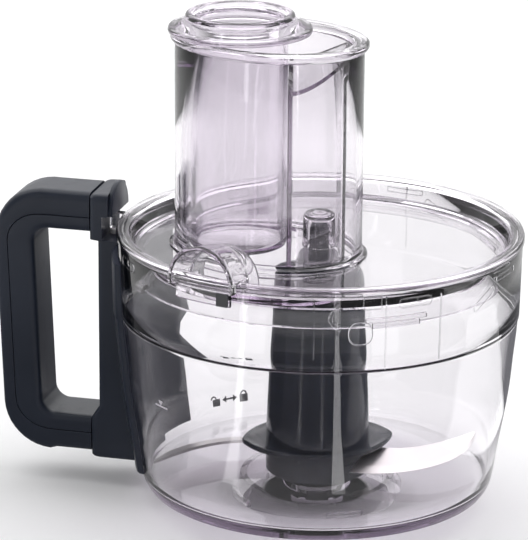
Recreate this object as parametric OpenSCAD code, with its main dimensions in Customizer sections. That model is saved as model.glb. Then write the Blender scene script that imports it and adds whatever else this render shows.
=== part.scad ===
// Food-processor bowl assembly: clear bowl with a side handle, locking lid with an oval
// feed tube, nested pushers, and a twin-blade knife on a driven spindle.
// The origin is on the drive axis, at the underside of the bayonet collar. +Z is up.

/* [Bowl] */
// Height of the bayonet collar below the bowl's foot
collar_h = 10; // [8:1:12]
// Inner radius of the bayonet collar
collar_bore_r = 33; // [31:0.5:34]
// Outer radius of the bayonet collar
collar_r = 36; // [35.5:0.5:37]
// Thickness of the bowl's floor
floor_t = 4.5; // [3.5:0.5:5]
// Thickness of the bowl's wall
wall_t = 2.6; // [2:0.1:3]
// Height of the bowl's top edge
bowl_top = 130; // [129:0.5:130]

/* [Lid] */
// Height of the lid's rim
lid_top = 133.5; // [133:0.5:134]
// Radius of the lid's rim
lid_r = 95; // [95:0.5:96]
// Height of the lid's sunken deck
deck_z = 125; // [124.5:0.5:125.5]

/* [Feed tube and pushers] */
// Half length of the feed tube's oval outline
tube_a = 45.8; // [45:0.1:46]
// Half width of the feed tube's oval outline
tube_b = 36; // [35.5:0.1:36.5]
// Height of the feed tube's mouth
tube_top = 221.8; // [218:0.1:222]
// Height of the large pusher's top
flange_top = 226; // [225.5:0.5:226.5]
// Outer radius of the small pusher's cup
cup_r = 22; // [21:0.1:22.1]
// Radius of the small pusher's collar
cup_collar_r = 33.2; // [31:0.1:33.5]

/* [Handle] */
// Direction of the handle, seen from above
handle_az = 167; // [165:1:169]
// Distance from the axis to the grip's outer face
grip_reach = 155.5; // [150:0.5:160]
// Width of the grip
grip_w = 27; // [24:1:28]

/* [Knife] */
// Radius of the knife hub at its foot
hub_r = 24.4; // [23.5:0.1:24.6]
// Reach of the blades from the axis
blade_reach = 78; // [70:1:78]
// Thickness of the blades
blade_t = 1.4; // [1.2:0.1:1.6]

/* [Hidden] */

$fn = 96;
navy = "#262b38";
clear = [0.80, 0.79, 0.83, 0.45];
lilac = [0.74, 0.69, 0.76, 0.6];
foot_z = collar_h;
floor_z = foot_z + floor_t;
fit = 0.05;        // radial clearance of a running fit
gap = 0.3;         // clearance between neighbouring pieces
seam = 0.02;       // clearance between welded pieces

// Outer outline of the bowl's wall: radius at each height
WALL = [[foot_z, 79], [foot_z + 1.5, 81.7], [foot_z + 6, 83.3], [32, 85.6], [57, 89.6],
    [76, 91.4], [86, 92.4], [94, 93], [94.8, 93.5], [110, 93.8], [bowl_top - 0.5, 94.2],
    [bowl_top, 93.7]];
function wall_r(z) = lookup(z, WALL);
step_z = 94;       // height of the step round the inside of the wall
inner_top_r = 92;  // inner radius of the wall above the step

// Feed tube: an oval whose long axis is turned about the vertical
tube_centre = [-24.2, -4.4];
tube_turn = -30;
tube_t = 2.5;
tube_foot = 119.5; // the tube's wall reaches below the deck to here
flange_over = 2;   // how far the pusher's flange overhangs the tube
pusher_t = 2;
pusher_gap = 0.8;  // all-round clearance of the large pusher in the tube
cup_centre = [-37.6, 0];
end_wall_x = 10.5; // flat end wall of the large pusher
web_x = -13.2;     // right face of the web between the pusher's two chambers
pusher_foot = 126;
mouth_z = 206;     // where the chute meets the small channel
shelf_z = 214;     // where the pusher widens to the full oval

// Lid bayonet
lug_count = 4;
lug_first = 112;
lug_span = 14;
lug_z = 114;
lug_h = 2.5;

// Handle, drawn in its own plane: distance from the axis, then height
arm_top = 145;
arm_bottom = 16;
grip_in = 136;
hole_x0 = 104;
hole_z0 = 34;
hole_z1 = 126;
shell_t = 2.6;
rod_x = 98.7;      // distance of the interlock rod from the axis
rod_r = 1.5;
rod_top = 125.2;
rod_foot = 12;
cam_top = 134.5;   // top of the slot that the lid's cam swings through
plate_x = 96.6;
plate_t = 2.9;
saddle_t = 2.9;
saddle_span = 54;
saddle_foot = 17.3;
saddle_top = 121;

// Drive: a boss in the bowl's floor holds the bush, and the spindle runs in it
boss_r = 15.5;
boss_bore_r = 12.9;
boss_top = 44;
bush_r = 8;
bush_foot = boss_top - 6;
spindle_r = 4;
squared_w = 8.8;   // across the flats of the spindle's squared end
squared_z = 84;
spindle_top = 106;
coupling_r = 11.8;
coupling_foot = foot_z + 2;
shaft_r = 6;       // bore for the motor base's output shaft
shaft_end = coupling_foot + 10.5;
cap_r = 7.5;
cap_top = 109;
hub_top = 121;     // top of the hub's neck, from which its pin rises
pin_r = 5;
pin_top = 131;
blade_z = 21.5;
carrier_z = 28;

function oval(a, b, n = 72) = [for (i = [0:n - 1]) [a * cos(i * 360 / n), b * sin(i * 360 / n)]];
function reversed(list) = [for (i = [len(list) - 1:-1:0]) list[i]];

module ring(r_in, r_out, z0, z1) {
    translate([0, 0, z0]) difference() {
        cylinder(r = r_out, h = z1 - z0);
        translate([0, 0, -1]) cylinder(r = r_in, h = z1 - z0 + 2);
    }
}

// Part of a ring that spans one angle, centred on az
module ring_sector(r_in, r_out, z0, z1, az, span) {
    rotate([0, 0, az - span / 2]) rotate_extrude(angle = span)
        translate([r_in, z0]) square([r_out - r_in, z1 - z0]);
}

// Solid oval column, grown by t all round
module tube_column(t, z0, z1) {
    translate([tube_centre.x, tube_centre.y, z0]) rotate([0, 0, tube_turn])
        linear_extrude(z1 - z0) polygon(oval(tube_a + t, tube_b + t));
}

// Solid inside the bowl's outer surface, moved outwards by t
module wall_solid(t) {
    rotate_extrude() polygon(concat([[0, foot_z]], [for (p = WALL) [p[1] + t, p[0]]], [[0, bowl_top]]));
}

module bowl() {
    inner = concat([[78.5, floor_z], [80.2, floor_z + 1.2], [80.9, floor_z + 4]],
        [for (p = WALL) if (p[0] > 30 && p[0] < step_z) [p[1] - wall_t, p[0]]],
        [[wall_r(step_z) - wall_t, step_z - 1], [inner_top_r - 0.4, step_z + 1],
        [inner_top_r, 104], [inner_top_r, bowl_top]]);
    color(clear) difference() {
        union() {
            rotate_extrude() polygon(concat([[boss_r, foot_z]],
                [for (p = WALL) [p[1], p[0]]], reversed(inner), [[boss_r, floor_z]]));
            // hollow boss that carries the spindle bush
            ring(boss_bore_r, boss_r, foot_z, bush_foot);
            ring(bush_r, boss_r, bush_foot, boss_top);
            // ramps that the lid's lugs lock under
            for (i = [0:lug_count - 1])
                ring_sector(90.4, inner_top_r + 0.2, lug_z + lug_h + gap, lug_z + lug_h + gap + 2,
                    lug_first + i * 90, lug_span + 4);
        }
        translate([0, 0, foot_z - 1]) cylinder(r = boss_bore_r, h = bush_foot - foot_z + 1);
    }
}

module bayonet_collar() {
    color(clear) {
        ring(collar_bore_r, collar_r, 0, foot_z);
        for (i = [0:3]) ring_sector(collar_r - 0.5, collar_r + 3, 2, 5.5, 20 + i * 90, 26);
    }
}

module spindle_bush() {
    color("dimgray") {
        ring(spindle_r + fit, bush_r, bush_foot, boss_top);
        ring(spindle_r + fit, bush_r + 2.5, boss_top, boss_top + 1.5);
    }
}

module spindle_seal() {
    color("#1b1b1e") ring(spindle_r + 0.2, 9, boss_top + 1.5, boss_top + 4);
}

// Lays a flat drawing round the bowl's wall as a thin print
module wall_print(az, z) {
    color("#4a4a50") intersection() {
        rotate([0, 0, az]) translate([80, 0, z]) rotate([90, 0, 90]) linear_extrude(20) children();
        difference() {
            wall_solid(0.25);
            wall_solid(seam);
        }
    }
}

module padlock(open) {
    translate([-2.2, -2.6]) square([4.4, 3.6]);
    translate([open ? 1.6 : 0, 1]) difference() {
        circle(r = 1.8, $fn = 32);
        circle(r = 1.1, $fn = 32);
        translate([-3, -4]) square([6, 4]);
    }
}

module lock_marks() {
    wall_print(122, 23) {
        translate([8, 0]) padlock(true);
        translate([-8, 0]) padlock(false);
        translate([-2.4, -0.4]) square([4.8, 0.8]);
        for (side = [-1, 1])
            polygon([[side * 4.2, 0], [side * 2, 1.6], [side * 2, -1.6]]);
    }
}

module level_mark() {
    wall_print(218, 67) {
        translate([-4.4, -3]) square([9, 0.6]);
        translate([-1.6, 0]) polygon([[0, 0], [3.2, 0], [1.6, -2.2]]);
    }
}

// Turns a drawing in the handle's plane into a slab of width w
module handle_slab(w) {
    rotate([0, 0, handle_az]) rotate([90, 0, 0]) linear_extrude(w, center = true) children();
}

module grip_outline(inset) {
    r = 20 - inset;
    hull() {
        translate([grip_reach - 20, arm_top - 20]) circle(r = r, $fn = 64);
        translate([grip_reach - 23.5, arm_bottom + 20]) circle(r = r, $fn = 64);
        translate([90, arm_bottom + inset]) square([1, arm_top - arm_bottom - 2 * inset]);
    }
}

module grip_hole(grow) {
    r = 7 + grow;
    hull() for (x = [hole_x0 + 7, grip_in - 7], z = [hole_z0 + 7, hole_z1 - 7])
        translate([x - (z < 60 ? 3 * (x > 110 ? 1 : 0) : 0), z]) circle(r = r, $fn = 48);
}

// Line along which the grip's inner shell meets its outer cover
module grip_parting(extra) {
    hull() {
        translate([grip_reach - 24, arm_top - 28]) circle(r = 16 + extra, $fn = 64);
        translate([grip_reach - 27.5, arm_bottom + 26]) circle(r = 16 + extra, $fn = 64);
        translate([90, arm_bottom + 10 - extra])
            square([1, arm_top - 12 - arm_bottom - 10 + 2 * extra]);
    }
}

grip_start = hole_x0 + 4;  // where the hollow grip leaves the spine

module grip_hollow() {
    handle_slab(grip_w - 2 * shell_t) difference() {
        grip_outline(shell_t);
        grip_hole(shell_t);
        translate([80, 0]) square([grip_start + shell_t - 80, 200]);
    }
}

module handle_frame() {
    color(navy) difference() {
        handle_slab(grip_w) difference() {
            intersection() {
                grip_outline(0);
                grip_parting(0);
            }
            grip_hole(0);
            translate([80, 0]) square([grip_start - 80, 200]);
        }
        grip_hollow();
    }
}

module handle_cover() {
    color(navy) difference() {
        handle_slab(grip_w) difference() {
            grip_outline(0);
            grip_parting(seam);
            translate([80, 0]) square([grip_start - 80, 200]);
        }
        grip_hollow();
    }
}

module rod_axis() {
    rotate([0, 0, handle_az]) translate([rod_x, 0, 0]) children();
}

// Wings of the spine, which hug the bowl's wall
module saddle() {
    heights = concat([saddle_foot], [for (p = WALL) if (p[0] > saddle_foot && p[0] < saddle_top) p[0]],
        [saddle_top]);
    rotate([0, 0, handle_az - saddle_span / 2]) rotate_extrude(angle = saddle_span) polygon(concat(
        [for (z = heights) [wall_r(z) + saddle_t, z]], reversed([for (z = heights) [wall_r(z) - 1, z]])));
}

module handle_spine() {
    foot = arm_bottom - 2;
    color(navy) difference() {
        union() {
            handle_slab(30) polygon([[80, foot], [grip_start - seam, foot], [grip_start - seam, hole_z0],
                [hole_x0, hole_z0 + 6], [hole_x0, hole_z1 - 6], [grip_start - seam, hole_z1],
                [grip_start - seam, arm_top], [plate_x + plate_t, arm_top], [plate_x + plate_t, 128],
                [80, 128]]);
            saddle();
        }
        wall_solid(seam * 5);
        // bore for the interlock rod and chamber for its spring
        rod_axis() cylinder(r = rod_r + 0.3, h = 110);
        rod_axis() translate([0, 0, 100]) cylinder(r = 3.4, h = 30);
        // room for the lid's cam as it swings by
        translate([0, 0, 123]) cylinder(r = 102.5, h = cam_top - 123);
    }
}

module thumb_plate() {
    color(navy) rotate([0, 0, handle_az]) translate([plate_x, 0, cam_top + seam]) intersection() {
        rotate([0, 90, 0]) cylinder(r = 14, h = plate_t - seam);
        translate([-1, -15, 0]) cube([5, 30, 20]);
    }
}

// Collar clipped into the spine, which guides the rod under the spring
module rod_guide() {
    color("dimgray") rod_axis() ring(rod_r + fit, 3.38, 100 + seam, 103);
}

spring_z0 = 103.1;
spring_z1 = 119.8;
spring_turns = 6;
function coil(i, steps) = let(u = i / steps) [2.5 * cos(360 * spring_turns * u),
    2.5 * sin(360 * spring_turns * u), spring_z0 + 0.35 + (spring_z1 - spring_z0 - 0.7) * u];

module rod_spring() {
    steps = spring_turns * 14;
    sides = 6;
    rings = [for (i = [0:steps]) let(c = coil(i, steps), a = 360 * spring_turns * i / steps)
        [for (j = [0:sides - 1]) let(b = j * 360 / sides)
            c + 0.33 * [cos(b) * cos(a), cos(b) * sin(a), sin(b)]]];
    points = [for (r = rings) each r];
    faces = concat(
        [for (i = [0:steps - 1], j = [0:sides - 1]) let(k = (j + 1) % sides)
            [i * sides + j, i * sides + k, (i + 1) * sides + k, (i + 1) * sides + j]],
        [[for (j = [sides - 1:-1:0]) j], [for (j = [0:sides - 1]) steps * sides + j]]);
    color("silver") rod_axis() polyhedron(points, [for (f = faces) reversed(f)]);
}

module interlock_rod() {
    color("gainsboro") rod_axis() {
        translate([0, 0, rod_foot]) cylinder(r = rod_r, h = rod_top - rod_foot);
        translate([0, 0, 120]) cylinder(r = 3, h = rod_top - 120);
    }
}

module drive_spindle() {
    color("silver") {
        translate([0, 0, shaft_end]) cylinder(r = spindle_r, h = squared_z - shaft_end);
        // squared end that turns the knife
        translate([0, 0, squared_z]) intersection() {
            cylinder(r = 5.4, h = spindle_top - squared_z);
            translate([-squared_w / 2, -squared_w / 2, 0])
                cube([squared_w, squared_w, spindle_top - squared_z]);
        }
    }
}

module spindle_clip() {
    color("silver") ring(spindle_r + 0.01, 6.5, boss_top + 4.3, boss_top + 5.3);
}

module drive_coupling() {
    color("#35363c") difference() {
        translate([0, 0, coupling_foot]) cylinder(r = coupling_r, h = 24);
        translate([0, 0, coupling_foot - 1]) cylinder(r = shaft_r, h = shaft_end - coupling_foot + 1);
        translate([0, 0, shaft_end - seam]) cylinder(r = spindle_r + seam, h = 20);
        // slots for the dogs of the motor base
        for (a = [0:60:120]) rotate([0, 0, a])
            translate([-20, -1.6, coupling_foot - 1]) cube([40, 3.2, 4]);
    }
}

module spindle_cap() {
    color(navy) difference() {
        translate([0, 0, squared_z]) cylinder(r = cap_r, h = cap_top - squared_z);
        translate([-squared_w / 2 - fit, -squared_w / 2 - fit, squared_z - 1])
            cube([squared_w + 2 * fit, squared_w + 2 * fit, spindle_top - squared_z + 1 + seam]);
    }
}

module knife_hub() {
    color(navy) rotate_extrude() polygon([[hub_r - 2.6, floor_z + 0.8], [hub_r, floor_z + 0.8], [hub_r, 34],
        [21.6, 95], [20.9, 107], [20.2, 110], [18.4, 112.4], [15, 114], [12, 115], [10.8, 116.2],
        [9.4, hub_top - 0.6], [8.8, hub_top], [pin_r, hub_top], [pin_r, pin_top], [0, pin_top],
        [0, cap_top + 0.4], [13.5, cap_top + 0.4], [17.6, 106], [18.6, 95], [20.8, 34]]);
    // web and socket that sit on the squared spindle end
    color(navy) difference() {
        ring(7.6, 18.2, 97, 100);
        for (a = [0:90:270]) rotate([0, 0, a]) translate([12.7, 0, 90]) cylinder(r = 2.6, h = 20);
    }
    color(navy) ring(cap_r + fit, 9.6, squared_z + 2, cap_top + 0.5);
}

module hub_cap() {
    color("#343a48") difference() {
        rotate_extrude() polygon([[0, pin_top + seam], [pin_r, pin_top + seam], [pin_r, pin_top + 2],
            [4.2, pin_top + 3.6], [0, pin_top + 3.6]]);
        ring(2.2, 3, pin_top + 2.8, pin_top + 5);
    }
}

module blade_carrier() {
    half_l = 36.3;
    half_w = 27.5;
    big_r = (half_l * half_l + half_w * half_w) / (2 * half_w);
    color(navy) rotate([0, 0, 10]) difference() {
        intersection_for(side = [-1, 1])
            translate([0, side * (big_r - half_w), carrier_z]) cylinder(r = big_r, h = 3);
        translate([0, 0, carrier_z - 1]) cylinder(r = hub_r + seam, h = 5);
    }
}

// Curved blade: its centre line sweeps round as it runs out, and its width falls to a point
module blade_outline() {
    steps = 14;
    r0 = hub_r + 0.1;
    function mid(s) = let(r = r0 + (blade_reach - r0) * s, a = -34 + 46 * pow(max(s, 0), 1.15))
        [r * cos(a), r * sin(a)];
    function half(s) = 10.5 - 5.5 * s - 4.6 * pow(s, 6);
    function side(s, d) = let(t = mid(s + 0.01) - mid(s - 0.01))
        mid(s) + d * half(s) * [-t.y, t.x] / norm(t);
    polygon(concat([for (i = [0:steps]) side(i / steps, -1)], [for (i = [steps:-1:0]) side(i / steps, 1)]));
}

module blade(z, turn) {
    color([0.80, 0.77, 0.77]) rotate([0, 0, turn]) difference() {
        translate([0, 0, z]) linear_extrude(blade_t) blade_outline();
        translate([0, 0, z - 1]) cylinder(r = hub_r + seam, h = 5);
    }
}

module lower_blade() { blade(blade_z, 180); }

module upper_blade() { blade(blade_z + 2, 0); }

module lid() {
    skirt_r = 90;
    color(clear) {
        difference() {
            rotate_extrude() polygon([[0, deck_z - 2.5], [skirt_r - 3, deck_z - 2.5], [skirt_r - 2.2, lug_z],
                [skirt_r, lug_z], [skirt_r, bowl_top + gap], [lid_r, bowl_top + gap],
                [lid_r, lid_top - 1.4], [lid_r - 1.2, lid_top - 0.3], [lid_r - 3, lid_top],
                [88.7, lid_top], [85.6, deck_z], [0, deck_z]]);
            tube_column(seam, 100, 150);
        }
        for (i = [0:lug_count - 1])
            ring_sector(skirt_r - 0.5, inner_top_r - gap - 0.1, lug_z, lug_z + lug_h,
                lug_first + i * 90, lug_span);
        // cam that holds the interlock rod down while the lid is locked
        ring_sector(lid_r - 1, rod_x + 2.4, bowl_top + gap, lid_top - 0.5, handle_az, 3);
        ring_sector(lid_r, rod_x + 2.4, 126, bowl_top + 2 * gap, handle_az, 3);
    }
}

module feed_tube() {
    color(clear) difference() {
        union() {
            tube_column(0, tube_foot, tube_top);
            tube_column(2.2, deck_z + seam, deck_z + 1.6);
        }
        tube_column(-tube_t, 100, 300);
    }
}

// Floor plate in the right end of the tube, with a closed socket over the knife's pin
module tip_socket() {
    plate_z = pusher_foot - gap - 1.6;
    socket_top = 141;
    color(clear) difference() {
        union() {
            intersection() {
                tube_column(-tube_t - seam, plate_z, pusher_foot - gap);
                translate([-11, -60, plate_z]) cube([60, 120, 5]);
            }
            translate([0, 0, plate_z]) cylinder(r = pin_r + 3, h = socket_top - plate_z);
        }
        translate([0, 0, plate_z - 1]) cylinder(r = pin_r + 1, h = socket_top - 2.5 - plate_z + 1);
    }
}

tab_az = 237.5;
tab_foot = 122.7;
module tab_vault(shrink) {
    hull() {
        translate([97.4, 0, -2]) rotate([0, 90, 0]) cylinder(r = 17.5 - shrink, h = 1.2 + shrink, $fn = 48);
        translate([74, 0, -5]) rotate([0, 90, 0]) cylinder(r = 16 - shrink, h = 1, $fn = 48);
    }
}

// Hooded thumb tab on the lid's rim, with a plate that reaches down past the bowl's edge
module lid_tab() {
    color(clear) {
        rotate([0, 0, tab_az]) translate([0, 0, lid_top - 2]) difference() {
            tab_vault(0);
            tab_vault(2);
            // the front stands on the rim's lip, the middle on the rim and the rear on the deck
            translate([83.4, -30, -42 + seam]) cube([11.7, 60, 44]);
            translate([60, -30, deck_z - lid_top + 2 + seam - 40]) cube([24, 60, 40]);
            translate([60, -30, -40]) cube([60, 60, deck_z - lid_top + 42 + seam]);
            translate([95, -30, -40]) cube([20, 60, 38]);
        }
        ring_sector(lid_r + seam, lid_r + 3.5, lid_top - 4, lid_top - 1, tab_az, 20.4);
        ring_sector(lid_r + seam, lid_r + 2, tab_foot, lid_top - 3.5, tab_az, 17);
    }
}

module lock_pointer() {
    color("#3a3c44") ring_sector(lid_r + 2 + seam, lid_r + 3.4, tab_foot + 0.5, lid_top - 4.3, tab_az + 6.6, 3.2);
}

pusher_in = -tube_t - pusher_gap;
module pusher_body(t, z0, z1) {
    intersection() {
        tube_column(pusher_in + t, z0, z1);
        translate([-100, -80, z0]) cube([100 + end_wall_x + t, 160, z1 - z0]);
    }
}

// Column that the pusher's walls follow: cut flat at the end wall, full oval above the shelf
module pusher_column(t, z0, z1, shelf) {
    pusher_body(t, z0, shelf + 0.1);
    tube_column(pusher_in + t, shelf, z1);
}

module large_pusher() {
    color(clear) {
        difference() {
            pusher_column(0, pusher_foot, flange_top - 4, shelf_z - pusher_t);
            pusher_column(-pusher_t, pusher_foot - 1, flange_top, shelf_z);
        }
        // web beside the channel of the small pusher
        intersection() {
            translate([web_x - pusher_t, -60, pusher_foot]) cube([pusher_t, 120, mouth_z - pusher_foot]);
            pusher_body(-pusher_t + 0.5, pusher_foot, flange_top);
        }
    }
}

module pusher_flange() {
    color(clear) difference() {
        union() {
            tube_column(flange_over, flange_top - 3 + seam, flange_top - 0.8);
            tube_column(flange_over - 0.8, flange_top - 4 + seam, flange_top);
        }
        tube_column(pusher_in - pusher_t, flange_top - 5, flange_top + 1);
    }
}

// Sloping floor that leads from the open mouth down to the small channel
module pusher_chute() {
    high_x = 20;
    high_z = flange_top - 4;
    color(clear) intersection() {
        rotate([90, 0, 0]) linear_extrude(120, center = true) polygon([[web_x + seam, mouth_z - 2],
            [high_x, high_z - 2], [high_x, high_z], [web_x + seam, mouth_z]]);
        pusher_column(-pusher_t - seam, mouth_z - 5, flange_top - 4, shelf_z + seam);
    }
}

collar_z = flange_top + gap;
module small_pusher() {
    color(lilac) translate([cup_centre.x, cup_centre.y, 0]) difference() {
        translate([0, 0, pusher_foot]) cylinder(r = cup_r, h = collar_z + 2 - pusher_foot);
        translate([0, 0, pusher_foot + 2.2]) cylinder(r = cup_r - 2, h = 200);
    }
}

module pusher_collar() {
    color(clear) translate([cup_centre.x, cup_centre.y, 0]) rotate_extrude() polygon([
        [cup_r + seam, collar_z], [cup_collar_r - 1, collar_z], [cup_collar_r, collar_z + 0.8],
        [cup_collar_r, collar_z + 2.2], [cup_collar_r - 1.2, collar_z + 3.2],
        [27.5, collar_z + 4.6], [25.6, collar_z + 6.4], [cup_r + seam, collar_z + 6.4]]);
}

module grip_ring() {
    color(lilac) translate([cup_centre.x, cup_centre.y, 0]) rotate_extrude() polygon([
        [cup_r - 2, collar_z + 2 + seam], [cup_r, collar_z + 2 + seam], [cup_r, collar_z + 6.4 + seam],
        [25.2, collar_z + 6.4 + seam], [25, collar_z + 8.4], [24, collar_z + 9.3],
        [cup_r + 0.4, collar_z + 9.3], [cup_r - 1, collar_z + 8]]);
}

bowl();
bayonet_collar();
spindle_bush();
spindle_seal();
lock_marks();
level_mark();
handle_spine();
handle_frame();
handle_cover();
thumb_plate();
rod_spring();
rod_guide();
interlock_rod();
drive_spindle();
spindle_clip();
drive_coupling();
spindle_cap();
knife_hub();
hub_cap();
blade_carrier();
lower_blade();
upper_blade();
lid();
feed_tube();
tip_socket();
lid_tab();
lock_pointer();
large_pusher();
pusher_flange();
pusher_chute();
small_pusher();
pusher_collar();
grip_ring();
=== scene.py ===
import math

import bmesh
import bpy
from mathutils import Matrix, Vector


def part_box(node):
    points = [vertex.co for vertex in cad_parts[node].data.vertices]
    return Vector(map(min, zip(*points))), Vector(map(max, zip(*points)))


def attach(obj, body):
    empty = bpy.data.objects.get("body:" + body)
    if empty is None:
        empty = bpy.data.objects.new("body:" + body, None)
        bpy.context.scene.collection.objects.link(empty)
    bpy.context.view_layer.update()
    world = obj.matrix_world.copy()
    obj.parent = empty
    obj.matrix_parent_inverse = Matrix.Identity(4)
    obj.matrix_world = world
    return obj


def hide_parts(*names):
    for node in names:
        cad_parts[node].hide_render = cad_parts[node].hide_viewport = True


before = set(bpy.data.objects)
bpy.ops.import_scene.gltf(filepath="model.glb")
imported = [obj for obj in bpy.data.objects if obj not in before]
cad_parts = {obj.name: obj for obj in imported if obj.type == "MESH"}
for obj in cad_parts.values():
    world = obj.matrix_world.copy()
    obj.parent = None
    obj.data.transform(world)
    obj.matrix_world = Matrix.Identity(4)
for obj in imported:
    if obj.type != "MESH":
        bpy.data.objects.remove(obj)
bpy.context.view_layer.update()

MM = 0.001
TAU = 2 * math.pi


# ---------------------------------------------------------------- sizes, in millimetres

def corners(node):
    low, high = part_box(node)
    return low / MM, high / MM


LID_LOW, LID_HIGH = corners("lid")
TUBE_LOW, TUBE_HIGH = corners("feed_tube")
CUP_LOW, CUP_HIGH = corners("small_pusher")
RING_LOW, RING_HIGH = corners("pusher_collar")
HUB_LOW, HUB_HIGH = corners("knife_hub")
SOCKET_LOW, SOCKET_HIGH = corners("tip_socket")
CARRIER_LOW, CARRIER_HIGH = corners("blade_carrier")

FOOT_Z = corners("bayonet_collar")[1].z
FLOOR_T = 4.5
FLOOR_Z = FOOT_Z + FLOOR_T
BOWL_TOP = corners("bowl")[1].z
WALL_T = 2.6
STEP_Z = 94.0
WALL = [(FOOT_Z, 79), (FOOT_Z + 1.5, 81.7), (FOOT_Z + 6, 83.3), (32, 85.6), (57, 89.6), (76, 91.4),
        (86, 92.4), (94, 93), (94.8, 93.5), (110, 93.8), (BOWL_TOP - 0.5, 94.2), (BOWL_TOP, 93.7)]
LID_TOP = LID_HIGH.z
LID_R = LID_HIGH.y
DECK_Z = 125.0
DECK_T = 2.5
SKIRT_R = 90.0
LUG_Z = LID_LOW.z

TUBE_CENTRE = (-24.2, -4.4)
TUBE_TURN = math.radians(-30)
TUBE_A, TUBE_B = 45.8, 36.0
TUBE_T = 2.5
TUBE_TOP = TUBE_HIGH.z
PUSHER_T = 2.0
PUSHER_IN = -TUBE_T - 0.8
END_WALL_X = 10.5
WEB_X = -13.2
MOUTH_Z = 206.0
SHELF_Z = 214.0
FLANGE_TOP = corners("pusher_flange")[1].z
CUP_R = (CUP_HIGH.x - CUP_LOW.x) / 2
CUP_X = (CUP_HIGH.x + CUP_LOW.x) / 2
CUP_FOOT = CUP_LOW.z
COLLAR_Z = RING_LOW.z
COLLAR_R = (RING_HIGH.x - RING_LOW.x) / 2

HANDLE_AZ = math.radians(167)
ARM_TOP, ARM_BOTTOM = 145.0, 16.0
GRIP_IN = 136.0
GRIP_START = 108.0
GRIP_W = 27.0
SPINE_X = 104.0
SPINE_W = 30.0
SADDLE_T = 2.9
SADDLE_SPAN = 54.0
HOLE_Z0, HOLE_Z1 = 34.0, 126.0
HOLE_R = 7.0
CAM_FOOT, CAM_TOP = 123.0, 134.4   # slot in the spine that the lid's cam swings through

TAB_AZ = math.radians(237.5)
TAB_FOOT = 122.7

LUG_COUNT = 4
LUG_AZ = math.radians(112)
LUG_SPAN = math.radians(14)
LUG_H = 2.5
COLLAR_R_IN, COLLAR_R_OUT = 33.0, 36.0
HUB_FOOT_R = 24.45
BOSS_R, BOSS_BORE_R, BOSS_TOP = 15.5, 12.9, 44.0

SEAM = 0.02   # air gap between welded pieces


def wall_r(z):
    """Outer radius of the bowl's wall at height z."""
    for (z0, r0), (z1, r1) in zip(WALL, WALL[1:]):
        if z <= z1:
            return r0 + (r1 - r0) * max(0, z - z0) / (z1 - z0)
    return WALL[-1][1]


# ---------------------------------------------------------------- node building

class Value:
    """A node's socket that understands arithmetic."""

    def __init__(self, kit, socket):
        self.kit = kit
        self.socket = socket

    def math(self, operation, other=None, swap=False):
        pair = [self, other] if not swap else [other, self]
        values = {i: v for i, v in enumerate(pair) if v is not None}
        return self.kit.node("ShaderNodeMath", {"operation": operation}, values)

    def __add__(self, other):
        return self.math("ADD", other)

    def __radd__(self, other):
        return self.math("ADD", other)

    def __sub__(self, other):
        return self.math("SUBTRACT", other)

    def __rsub__(self, other):
        return self.math("SUBTRACT", other, swap=True)

    def __mul__(self, other):
        return self.math("MULTIPLY", other)

    def __rmul__(self, other):
        return self.math("MULTIPLY", other)

    def __truediv__(self, other):
        return self.math("DIVIDE", other)

    def __pow__(self, other):
        return self.math("POWER", other)

    def cos(self):
        return self.math("COSINE")

    def sin(self):
        return self.math("SINE")

    def root(self):
        return self.math("SQRT")

    def at_least(self, other):
        return self.math("MAXIMUM", other)

    def at_most(self, other):
        return self.math("MINIMUM", other)

    def above(self, limit, soft):
        """0 below the limit, 1 above it, with a soft edge."""
        return self.kit.node("ShaderNodeMapRange", {"clamp": True}, {
            0: self, 1: limit - soft, 2: limit + soft, 3: 0.0, 4: 1.0})


class Graph:
    """The nodes of one tree."""

    def __init__(self, tree):
        self.tree = tree
        self.tree.nodes.clear()

    def node(self, kind, settings=None, values=None, out=0):
        made = self.tree.nodes.new(kind)
        for key, value in (settings or {}).items():
            setattr(made, key, value)
        for key, value in (values or {}).items():
            if isinstance(value, Value):
                self.tree.links.new(value.socket, made.inputs[key])
            else:
                made.inputs[key].default_value = value
        return Value(self, made.outputs[out]) if made.outputs else None

    def parts(self, vector):
        """The three components of a vector."""
        split = self.node("ShaderNodeSeparateXYZ", {}, {0: vector}).socket.node
        return [Value(self, socket) for socket in split.outputs]

    def vector(self, x, y, z):
        return self.node("ShaderNodeCombineXYZ", {}, {0: x, 1: y, 2: z})


class Kit(Graph):
    """One material's nodes."""

    def __init__(self, name):
        self.material = bpy.data.materials.new(name)
        self.material.use_nodes = True
        super().__init__(self.material.node_tree)

    def place(self, stretch=(1, 1, 1)):
        coords = self.node("ShaderNodeTexCoord", out=3)
        return self.node("ShaderNodeMapping", {}, {0: coords, 3: stretch})

    def noise(self, scale, detail=3.0, stretch=(1, 1, 1), rough=0.5):
        return self.node("ShaderNodeTexNoise", {}, {
            "Vector": self.place(stretch), "Scale": scale, "Detail": detail, "Roughness": rough})

    def mix(self, factor, a, b):
        """Colour mix."""
        return self.node("ShaderNodeMix", {"data_type": "RGBA"}, {0: factor, 6: a, 7: b}, out=2)

    def bump(self, height, strength, distance):
        return self.node("ShaderNodeBump", {}, {
            "Strength": strength, "Distance": distance, "Height": height})

    def finish(self, surface, volume=None):
        ends = {"Surface": surface}
        if volume:
            ends["Volume"] = volume
        self.node("ShaderNodeOutputMaterial", {}, ends)
        return self.material


def rgb(r, g, b):
    return (r, g, b, 1.0)


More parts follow.
